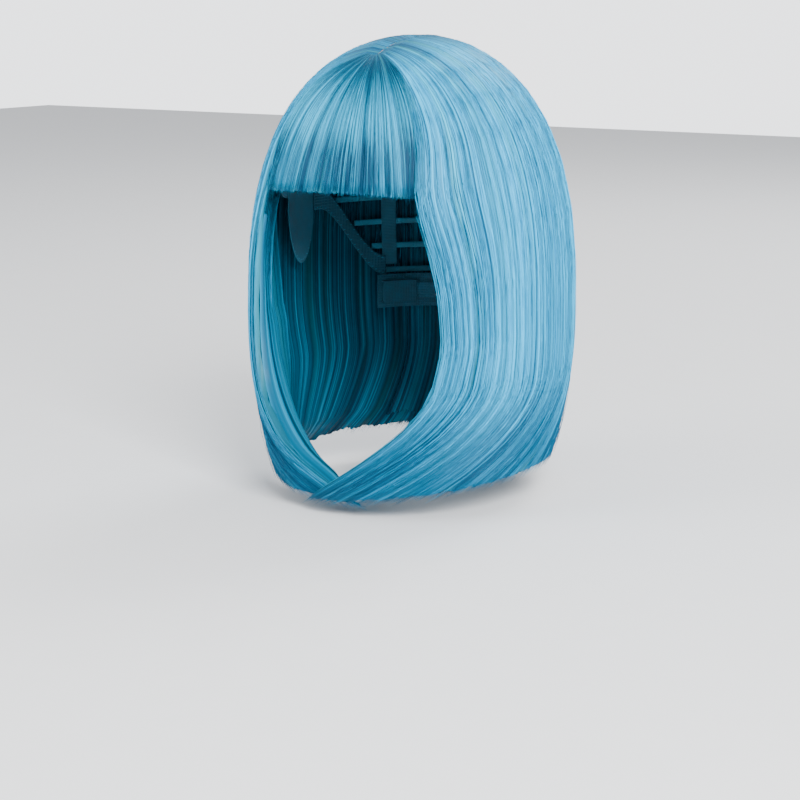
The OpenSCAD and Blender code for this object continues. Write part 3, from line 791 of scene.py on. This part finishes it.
class WIG_OT_under_hair(bpy.types.Operator):
    """Combs the shaded layers under the top hair"""
    bl_idname = "wig.under_hair"
    bl_label = "Under hair"

    def execute(self, context):
        s = context.scene.wig_hair

        def outer(bearing, u, edge):
            return layer_depth(u) + LAYER_GAP

        def inner(bearing, u, edge):
            full = outer(bearing, u, edge) + 2.2*MM + 10*MM*smooth((u - 0.9)/1.1)
            return mix(full, outer(bearing, u, edge) + 2*MM, smooth((u - 1.8)/0.2))

        def temple_outer(bearing, u, edge):
            return outer(bearing, u, edge) - 0.8*MM*smooth((edge - 0.7)/0.3)

        def temple_inner(bearing, u, edge):
            deep = (7.6*smooth((u - 0.75)/0.4)
                    + 16*smooth((u - 1.05)/0.9)*smooth((bearing - 96)/40))*MM
            rounded = deep - edge_roll(edge, 0.55, 1.0)*deep
            full = outer(bearing, u, edge) + 1.6*MM + rounded
            return mix(full, outer(bearing, u, edge) + 2.4*MM, smooth((u - 1.84)/0.18))

        tips = ragged(1.95, 35, 0.018, 0.012)
        for side, mirrored in (("left", False), ("right", True)):
            shape = hair_sheet(BACK_SEAM, TEMPLE_SEAM, 0.5*MM, 0.76, tips, 40, outer, inner, 20,
                               mirrored)
            piece = new_piece(f"under_hair_{side}", [shape], ["shaded hair"], sharp=70)
            own(piece, CAP, "under_hair", f"hair_under_{side}")
            shape = hair_sheet(TEMPLE_SEAM, FACE_EDGE, 0.28*MM, 0.76, tips, 40, temple_outer,
                               temple_inner, 40, mirrored)
            piece = new_piece(f"temple_hair_{side}", [shape], ["shadowed temple hair"], sharp=70)
            own(piece, CAP, "under_hair", f"hair_temple_{side}")

            rng = np.random.default_rng(70 + mirrored)
            n = s.strands//2
            root, share = rng.uniform(0.6, 1.2, n), rng.random(n)**1.5
            bearing = FACE_EDGE + 0.8 - 9*share + rng.uniform(-0.5, 0.5, n)
            depth = (2*MM + 12*MM*share)[:, None]
            shape = loose_strands(72, bearing, root, rng.normal(1.95, 0.025, n).clip(1.8, 2.0),
                                  lambda b, u: depth, s.strand_width*rng.uniform(0.4, 1, n),
                                  mirrored=mirrored, wander=1.5)
            own(new_piece(f"face_strands_{side}", [shape], ["shadowed temple hair"]), CAP, "under_hair")
        shape = hair_sheet(-BACK_SEAM, BACK_SEAM, 0.5*MM, 0.76, tips, 40, outer, inner, 20)
        own(new_piece("under_hair_back", [shape], ["shaded hair"], sharp=70), CAP, "under_hair",
            "hair_under_back")

        def nape_outer(bearing, u, edge):
            return inner(bearing, np.minimum(u, 1.78), edge) + LAYER_GAP

        def nape_inner(bearing, u, edge):
            return nape_outer(bearing, u, edge) + 3.6*MM

        shape = hair_sheet(-40, 40, 0.5*MM, 1.02, ragged(1.85, 37, 0.018, 0.012), 30, nape_outer,
                           nape_inner, 16)
        own(new_piece("nape_hair", [shape], ["shaded hair"], sharp=70), CAP, "under_hair", "hair_nape")
        return {"FINISHED"}


class WIG_OT_loose_strands(bpy.types.Operator):
    """Lays fine loose strands over the top hair and lets some stray past the cut edges"""
    bl_idname = "wig.loose_strands"
    bl_label = "Loose strands"

    def execute(self, context):
        s = context.scene.wig_hair
        areas = (("left", False, BACK_SEAM - 6, FACE_EDGE + 1, 1.0),
                 ("right", True, BACK_SEAM - 6, FACE_EDGE + 1, 1.0),
                 ("back", False, -BACK_SEAM, BACK_SEAM, 0.7))
        for number, (area, mirrored, b0, b1, share) in enumerate(areas, 41):
            rng = np.random.default_rng(number)
            n = int(s.strands*share)
            bearing = rng.uniform(b0, b1, n)
            root = np.where(rng.random(n) < 0.3, rng.uniform(0.003, 0.05, n),
                            rng.uniform(0.1, 1.2, n))
            tip = np.where(rng.random(n) < 0.65, rng.normal(1.975, 0.022, n),
                           rng.uniform(1.3, 1.95, n))
            width = s.strand_width*rng.uniform(0.35, 1.0, n)
            wisp = rng.random(n) < 0.3
            root = np.where(wisp, rng.uniform(1.0, 1.7, n), root)
            tip = np.where(wisp, rng.normal(1.992, 0.014, n), tip)
            shape = loose_strands(number + 3, bearing, root, tip.clip(root + 0.3, 2.04),
                                  lambda b, u: 0.4*MM + root_dip(u),
                                  np.where(wisp, 0.4*width, width), rings=16,
                                  mirrored=mirrored, shading=painted_root_and_tip_shade)
            own(new_piece(f"{area}_strands", [shape], ["silky strands"]), CAP, "hair")
        return {"FINISHED"}


def level_at(z):
    """An edge at one height all the way."""
    return lambda bearing: z + 0*bearing


def net_foot(bearing):
    """The crown net's lower edge: it rises from the back to the forehead."""
    return mix(24, 46, smooth((from_back(bearing) - 70)/90))*MM


def band_top(bearing):
    """The front band's upper edge: it rises from the temples to the middle of the forehead."""
    return mix(26, 49, smooth((70 - np.abs(bearing - FRONT))/50))*MM


def side_top(bearing):
    """The side bands' upper edge: it rises from the nape to the top of the ear."""
    return mix(-38, 9, smooth((bearing - 52)/34))*MM


def tab_top(bearing):
    """The ear tabs' upper edge, a shallow arch."""
    return (26 - 6*((bearing - TAB_MID)/TAB_ARCH)**2)*MM


def tab_foot(bearing):
    """The ear tabs' round foot."""
    return (-36 + 40*(1 - np.sqrt(np.maximum(0, 1 - ((bearing - TAB_MID)/TAB_ARCH)**2))))*MM


def brushed(x, z):
    """Soft lining: a low uneven nap."""
    return 0.05*MM*noise(81, x/0.0021, z/0.0019) + 0.04*MM*noise(82, x/0.0008, z/0.0008)


def ribbed(x, z):
    """Elastic: upright ribs gathered between cords that run round the band."""
    return 0.10*MM*np.sin(2*pi*z/0.0018) + 0.05*MM*np.sin(2*pi*x/0.0024 + 2*noise(83, x/0.01, z/0.01))


def gathered(x, z):
    """Sewn hair ends: upright fibres of uneven height."""
    return 0.16*MM*noise(84, x/0.0011, z/0.02) + 0.07*MM*noise(85, x/0.0005, z/0.01)


def flat_cloth(x, z):
    """Woven ribbon, flat but for a slight ripple."""
    return 0.03*MM*noise(86, x/0.004, z/0.004)


def edge_stitches(b0, b1, pitch, top, foot, lift, mirrored=False):
    """Two rows of stitches as shapes, one inside each edge of a band."""
    b = np.arange(b0 + pitch, b1 - pitch, pitch)
    return [cap_stitches(b, height(b) + step*1.6*MM, lift - 0.1*MM, 0.62*pitch, mirrored)
            for height, step in ((top, -1), (foot, 1))]


class WIG_OT_bands(bpy.types.Operator):
    """Sews the front band, the ear tabs and the elastic bands"""
    bl_idname = "wig.bands"
    bl_label = "Bands"

    def execute(self, context):
        pitch = context.scene.wig_cap.stitch
        b0, b1 = BAND_END, 2*FRONT - BAND_END
        low, high = TAB_MID - TAB_HALF, TAB_MID + TAB_HALF
        side_end = low - 0.8

        def band_foot(bearing):
            return band_top(bearing) - BAND_H

        def side_foot(bearing):
            return side_top(bearing) - SIDE_H

        shapes = [cap_sheet(b0, b1, band_top, band_foot, 0, LINING, brushed, rows=26),
                  *edge_stitches(b0, b1, pitch, band_top, band_foot, 0)]
        piece = new_piece("front_band_lining", shapes, ["lining", "thread"], sharp=60)
        own(piece, CAP, "lining", "front_band")
        for side, mirrored in (("left", False), ("right", True)):
            shapes = [cap_sheet(low, high, tab_top, tab_foot, 0, LINING, brushed, mirrored, rows=50)]
            b = np.arange(low + 3, high - 2, pitch)
            shapes += [cap_stitches(b, tab_foot(b) + 2.2*MM, -0.1*MM, 0.62*pitch, mirrored),
                       cap_stitches(b, tab_top(b) - 1.8*MM, -0.1*MM, 0.62*pitch, mirrored)]
            piece = new_piece(f"ear_tab_lining_{side}", shapes, ["lining", "thread"], sharp=60)
            own(piece, CAP, "lining", f"ear_tab_{side}")

            shapes = [cap_sheet(SIDE_START, side_end, side_top, side_foot, 0, LINING, ribbed,
                                mirrored, 0.5*MM, 40),
                      *edge_stitches(SIDE_START, side_end, pitch, side_top, side_foot, 0, mirrored)]
            piece = new_piece(f"side_elastic_{side}", shapes, ["elastic", "thread"], sharp=60)
            own(piece, CAP, "elastic", f"side_band_{side}")
        shape = nape_sheet(-NAPE_END, NAPE_END, NAPE_LOW, NAPE_HIGH, NAPE_R, NAPE_R + 1.2*MM,
                           ribbed, rows=60)
        piece = new_piece("nape_elastic", [shape], ["elastic"], sharp=60)
        own(piece, CAP, "elastic", "nape_band")
        return {"FINISHED"}


class WIG_OT_crown(bpy.types.Operator):
    """Knots the crown net, and sews the ribbons, the wefts and their hair ends"""
    bl_idname = "wig.crown"
    bl_label = "Crown"

    def execute(self, context):
        s = context.scene.wig_cap
        t = np.linspace(0, 1, 56)[None, :]
        middle = NET_LIFT + 0.3*MM
        high = (CAP_TOP + middle)*cos(radians(90*NET_HOLE))**(2/CAP_POWER)
        shapes = []
        for twist in (-50, 50):
            bearing = np.arange(s.net_threads)[:, None]*360/s.net_threads + twist*t
            z = mix(high, net_foot(bearing), t**1.5)
            lift = middle + 0.12*MM*np.sign(twist)*np.cos(pi*s.net_threads*t*twist*2/360)
            centre = cap_point(bearing, z, lift)
            normal = cap_point(bearing, z, lift + 2*MM) - centre
            shapes.append(tubes(centre, normal, np.full(z.shape, s.thread), flat=0.8, sides=4))
        around = np.linspace(0, 360, 400)[None, :]
        for step in (0.4, 2.4):
            foot = net_foot(around) + step*MM
            centre = cap_point(around, foot, middle)
            normal = cap_point(around, foot, middle + 2*MM) - centre
            shapes.append(tubes(centre, normal, np.full(foot.shape, 1.1*MM), flat=0.5, sides=6))
        net = new_piece("rose_net", shapes, ["net"])
        own(net, CAP, "net", "crown_net")

        ribbons = (("centre", 0, -49), ("back_left", 24, -49), ("back_right", -24, -49),
                   ("side_left", 50, -44), ("side_right", -50, -44))
        for name, bearing, low in ribbons:
            shape = cap_sheet(bearing - 3.4, bearing + 3.4, level_at(22*MM), level_at(low*MM),
                              NET_LIFT, 0.6*MM, flat_cloth, rows=60, spacing=0.5*MM)
            piece = new_piece(f"woven_ribbon_{name}", [shape], ["ribbon"], sharp=60)
            own(piece, CAP, "ribbon", f"ribbon_{name}")

        for number, (z, reach) in enumerate(WEFTS, 1):
            top = z*MM
            track = cap_sheet(-reach, reach, level_at(top), level_at(top - WEFT_H), WEFT_LIFT,
                              WEFT_T - 0.3*MM, gathered, rows=8, spacing=0.4*MM)
            b = np.arange(-reach + 1, reach - 1, 0.9)
            level = np.full(len(b), top - WEFT_H/2)
            slant = 1.5*MM*np.where(np.arange(len(b)) % 2, 1, -1)[:, None]
            threads = [cap_stitches(b, level + row, WEFT_LIFT + 0.1*MM, 0.9, slant=slant*0.5,
                                    radius=0.17*MM) for row in (-0.8*MM, 0.8*MM)]
            rng = np.random.default_rng(90 + number)
            n = int(reach*1.5)
            start = rng.uniform(-reach, reach, n)[:, None]
            fall = np.linspace(0, 1, 7)[None, :]
            height = top - WEFT_H*0.7 - rng.uniform(16, 26, n)[:, None]*MM*fall
            lift = WEFT_LIFT + 1.1*MM + 3.2*MM*fall**0.7
            bearing = start + rng.normal(0, 1.5, n)[:, None]*fall
            centre = cap_point(bearing, height, lift)
            normal = cap_point(bearing, height, lift + 2*MM) - centre
            ends = tubes(centre, normal, 0.8*MM*(1.05 - fall**3) + 0*height,
                         tones=rng.normal(0.5, 0.15, (n, 1)))
            piece = new_piece(f"weft_track_{number}", [track, *threads, ends],
                              ["weft", "thread", "thread", "shaded hair"])
            own(piece, CAP, "weft", f"weft_row_{number}")
        return {"FINISHED"}


class WIG_OT_parting(bpy.types.Operator):
    """Lays the matt skin under the part line, its backing and the blank label"""
    bl_idname = "wig.parting"
    bl_label = "Parting"

    def execute(self, context):
        middle = (PART_FRONT + PART_BACK)/2
        for name, node, slot, material, half_w, half_l, depth in (
                ("parting_skin", "skin_patch", "skin", "skin", 13*MM, 30*MM, 2.7*MM),
                ("parting_backing", "skin_backing", "lining", "lining", 11*MM, 28*MM, 4.2*MM)):
            s = np.linspace(-0.985, 0.985, 120)[:, None]
            r = np.linspace(-1, 1, 60)[None, :]
            x, y = r*half_w*np.sqrt(1 - s*s), middle - s*half_l

            def grid(extra):
                k = depth + extra
                q = np.hypot(x/(HALF_W - k), (y - HAIR_Y)/(HALF_D - k))
                return np.stack([x + 0*y, y + 0*x, dome_height(x, y, q, k)], -1)

            pores = 0.05*MM*noise(87, x/0.0012, y/0.0012)
            uv = np.stack([x + 0*y, y + 0*x], -1)
            shape = closed_sheet(grid(pores), grid(0.7*MM + pores)[:, ::-1], both_faces(uv),
                                 np.full((120, 120), 0.5), flip=True)
            piece = new_piece(name, [shape], [material], sharp=60)
            own(piece, CAP, slot, node)

        low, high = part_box("size_label")
        x = np.linspace(low.x, high.x, 40)[:, None]
        z = np.linspace(high.z, low.z, 30)[None, :]
        edge = (np.abs(x/high.x)**20 + np.abs((z - (low.z + high.z)/2)/((high.z - low.z)/2))**20)
        sag = 0.08*MM*noise(88, x/0.004, z/0.004)
        half = (high.y - low.y)/2*(1 - 0.4*np.minimum(1, edge))

        def face(sign):
            return np.stack([x + 0*z, (low.y + high.y)/2 + sag + sign*half, z + 0*x], -1)

        uv = np.stack([x + 0*z, z + 0*x], -1)
        shape = closed_sheet(face(1), face(-1)[:, ::-1], both_faces(uv), np.full((40, 60), 0.5))
        piece = new_piece("blank_label", [shape], ["label"], sharp=60)
        own(piece, CAP, "label", "size_label")
        return {"FINISHED"}


class WIG_OT_adjusters(bpy.types.Operator):
    """Threads the elastic straps through their channels, and sews the rows of loops"""
    bl_idname = "wig.adjusters"
    bl_label = "Adjusters"

    def execute(self, context):
        strap_r, channel_r = NAPE_R - 1.6*MM, NAPE_R - 3.2*MM
        for side, mirrored in (("left", False), ("right", True)):
            shape = nape_sheet(27, 64, -66*MM, -56*MM, strap_r + 0.1*MM, strap_r + 0.6*MM,
                               lambda x, z: 0.05*MM*np.sin(2*pi*z/0.0011), mirrored, 60)
            piece = new_piece(f"elastic_strap_{side}", [shape], ["strap"], sharp=60)
            own(piece, f"adjuster_{side}", "strap", f"strap_{side}")
            walls = ((-68.2, -53.8, channel_r, channel_r + 0.8*MM), (-68.2, -67.3, channel_r, NAPE_R),
                     (-54.7, -53.8, channel_r, NAPE_R))
            shapes = [nape_sheet(44, 68, z0*MM, z1*MM, r0, r1, lambda x, z: 0.03*MM*np.sin(
                2*pi*x/0.0013) + 0*z, mirrored, 24) for z0, z1, r0, r1 in walls]
            piece = new_piece(f"strap_pocket_{side}", shapes, ["elastic"], sharp=60)
            own(piece, CAP, "elastic", f"strap_channel_{side}")

            a = np.radians(LOOP_FIRST + LOOP_STEP*np.arange(LOOPS))[:, None]*(-1 if mirrored else 1)
            t = np.linspace(-1, 1, 15)[None, :]
            r = NAPE_R - 0.35*MM + 0.1*MM*t**6
            centre = np.stack([r*np.sin(a), NAPE_Y + r*np.cos(a), LOOP_Z + 3.8*MM*t + 0*a], -1)
            normal = np.stack([np.sin(a) + 0*t, np.cos(a) + 0*t, 0*a*t], -1)
            shape = tubes(centre, normal, np.full((LOOPS, t.size), 1.1*MM), flat=0.5, sides=10)
            own(new_piece(f"thread_loops_{side}", [shape], ["thread"]), CAP, "elastic",
                f"loop_row_{side}")
        return {"FINISHED"}


class WIG_OT_finishes(bpy.types.Operator):
    """Mixes the materials and finishes the solids that stay in view"""
    bl_idname = "wig.finishes"
    bl_label = "Finishes"

    def execute(self, context):
        s = context.scene.wig_hair
        strand_streaks()
        weave()
        shade, mid, light, tint = [colour(c) for c in (s.shade, s.mid, s.light, s.tint)]

        def darker(c, share):
            return colour([v*share for v in c[:3]])

        def mix_rgb(a, b, share):
            return colour([mix(v, w, share) for v, w in zip(a[:3], b[:3])])

        hair_material("silky hair", shade, mid, light, tint, 0.42, 1.0)
        hair_material("silky strands", shade, mid, light, light, 0.40, 2.0, bump=0.0)
        greener = [mix_rgb(c, tint, 0.25) for c in (mid, light)]
        hair_material("fringe hair", darker(shade, 0.8), *greener, tint, 0.40, 3.0)
        hair_material("fringe strands", darker(shade, 0.8), *greener, light, 0.38, 6.0, bump=0.0)
        # Painted shade: the temple hair and the strands beside the face are darkened to about half.
        hair_material("shadowed temple hair", darker(shade, 0.5), darker(mid, 0.5), darker(light, 0.6),
                      darker(tint, 0.5), 0.40, 4.0)
        hair_material("shaded hair", darker(shade, 0.3), darker(mid, 0.22), darker(light, 0.3),
                      darker(tint, 0.25), 0.46, 5.0)
        record = {m["slot"]: m["base_color"][:3] for m in frame["record"]["materials"]}
        # Painted shade: the cap's cloth, net and strap, and so the thread, are darkened to a teal to
        # match the shaded hair inside the wig.
        cloth_shade_shares = (0.10, 0.36, 0.42)    # the shares of red, green and blue that the cap's cloth keeps
        for slot in ("lining", "elastic", "ribbon", "strap", "weft", "net"):
            record[slot] = [c*share for c, share in zip(record[slot], cloth_shade_shares)]
        for slot, across, along, roughness, bump in (
                ("lining", 0.0007, 0.0007, 0.85, 0.35), ("elastic", 0.0012, 0.0009, 0.75, 0.6),
                ("ribbon", 0.0005, 0.0010, 0.6, 0.6), ("strap", 0.0010, 0.0011, 0.7, 0.6),
                ("weft", 0.0006, 0.02, 0.5, 0.6), ("label", 0.0005, 0.0005, 0.45, 0.2)):
            woven_material(slot, record[slot], across, along, roughness, bump)
        plain_material("net", record["net"], 0.7)
        plain_material("thread", [c*2.2 for c in record["strap"]], 0.65)
        plain_material("skin", (0.40, 0.31, 0.29), 0.7, grain=700.0, bump=0.35, spread=0.25)
        plain_material("clear_plastic", record["clear_plastic"], 0.28, grain=300.0, bump=0.03,
                       spread=0.05)
        plain_material("silicone", record["silicone"], 0.55, grain=900.0, bump=0.1, spread=0.06)
        plain_material("steel", record["steel"], 0.30, metallic=1.0, grain=500.0, bump=0.05,
                       spread=0.10)
        for part in frame["record"]["subparts"]:
            solid = frame["nodes"][part["node"]]
            solid.data.materials.clear()
            own_finish = wig_material(part["material_slot"]) or wig_material("silky hair")
            solid.data.materials.append(own_finish)
        return {"FINISHED"}


class WIG_OT_stage(bpy.types.Operator):
    """Sets the floor, the soft lights and the camera"""
    bl_idname = "wig.stage"
    bl_label = "Stage"

    def execute(self, context):
        scene = context.scene
        azimuth, pitch, distance = radians(33), radians(11), 1.4
        view_width = 0.8/1.57        # metres across the picture at the wig
        right = Vector((cos(azimuth), sin(azimuth), 0))
        back = Vector((sin(azimuth)*cos(pitch), -cos(azimuth)*cos(pitch), sin(pitch)))
        aim = Vector((0, HAIR_Y, -0.1206)) - right*0.0085
        data = bpy.data.cameras.new("camera")
        camera = bpy.data.objects.new("camera", data)
        scene.collection.objects.link(camera)
        camera.location = aim + back*distance
        camera.rotation_euler = back.to_track_quat("Z", "Y").to_euler()
        data.sensor_width = 36
        data.lens = data.sensor_width*distance/view_width
        scene.camera = camera

        size, low = 6.0, SIDE_LOW.z - 0.006
        across = np.linspace(-size/2, size/2, 40)
        x, y = np.meshgrid(across, across, indexing="ij")
        points = np.stack([x, y, np.full_like(x, low)], -1).reshape(-1, 3)
        n = len(across)
        i, j = np.meshgrid(np.arange(n - 1), np.arange(n - 1), indexing="ij")
        quads = np.stack([i*n + j, (i + 1)*n + j, (i + 1)*n + j + 1, i*n + j + 1], -1).reshape(-1, 4)
        plain_material("pale floor", (0.90, 0.91, 0.92), 0.7, grain=40.0, bump=0.0, spread=0.01)
        floor = new_piece("floor", [(points, [quads], points[:, :2], points[:, 0])], ["pale floor"])

        world = bpy.data.worlds.new("studio")
        scene.world = world
        world.use_nodes = True
        sky = world.node_tree.nodes["Background"]
        sky.inputs["Color"].default_value = (0.94, 0.96, 1.0, 1)
        seen = add(world.node_tree, "ShaderNodeLightPath").outputs["Is Camera Ray"]
        strength = add(world.node_tree, "ShaderNodeMapRange", {0: seen, 3: 0.8, 4: 2.8}).outputs[0]
        world.node_tree.links.new(strength, sky.inputs["Strength"])
        for name, place, size, power in (("key", (1.5, -1.3, 1.1), 0.9, 96),
                                         ("fill", (-1.3, -1.5, 0.7), 1.2, 22),
                                         ("rim", (0.2, 1.7, 1.4), 1.0, 30)):
            light = bpy.data.lights.new(name, "AREA")
            light.size, light.energy = size, power
            lamp = bpy.data.objects.new(name, light)
            scene.collection.objects.link(lamp)
            lamp.location = place
            beam = Vector(place) - Vector((0, 0, -0.03))
            lamp.rotation_euler = beam.to_track_quat("Z", "Y").to_euler()
        return {"FINISHED"}


class WIG_PT_sidebar(bpy.types.Panel):
    """Lists the wig's settings and steps"""
    bl_label = "Bob wig"
    bl_idname = "WIG_PT_sidebar"
    bl_space_type = "VIEW_3D"
    bl_region_type = "UI"
    bl_category = "Bob wig"

    def draw(self, context):
        for settings in (context.scene.wig_hair, context.scene.wig_cap):
            for name in settings.__annotations__:
                self.layout.prop(settings, name)
        for step in STEPS:
            self.layout.operator(step.bl_idname)


STEPS = (WIG_OT_finishes, WIG_OT_top_hair, WIG_OT_fringe, WIG_OT_under_hair, WIG_OT_loose_strands,
         WIG_OT_parting, WIG_OT_crown, WIG_OT_bands, WIG_OT_adjusters, WIG_OT_stage)
CLASSES = (WigHairSettings, WigCapSettings, *STEPS, WIG_PT_sidebar)


def register():
    for cls in CLASSES:
        bpy.utils.register_class(cls)
    bpy.types.Scene.wig_hair = PointerProperty(type=WigHairSettings)
    bpy.types.Scene.wig_cap = PointerProperty(type=WigCapSettings)


def unregister():
    del bpy.types.Scene.wig_cap
    del bpy.types.Scene.wig_hair
    for cls in reversed(CLASSES):
        bpy.utils.unregister_class(cls)


def main():
    """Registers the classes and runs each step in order."""
    register()
    for step in STEPS:
        group, name = step.bl_idname.split(".")
        getattr(getattr(bpy.ops, group), name)()


if __name__ == "__main__":
    main()
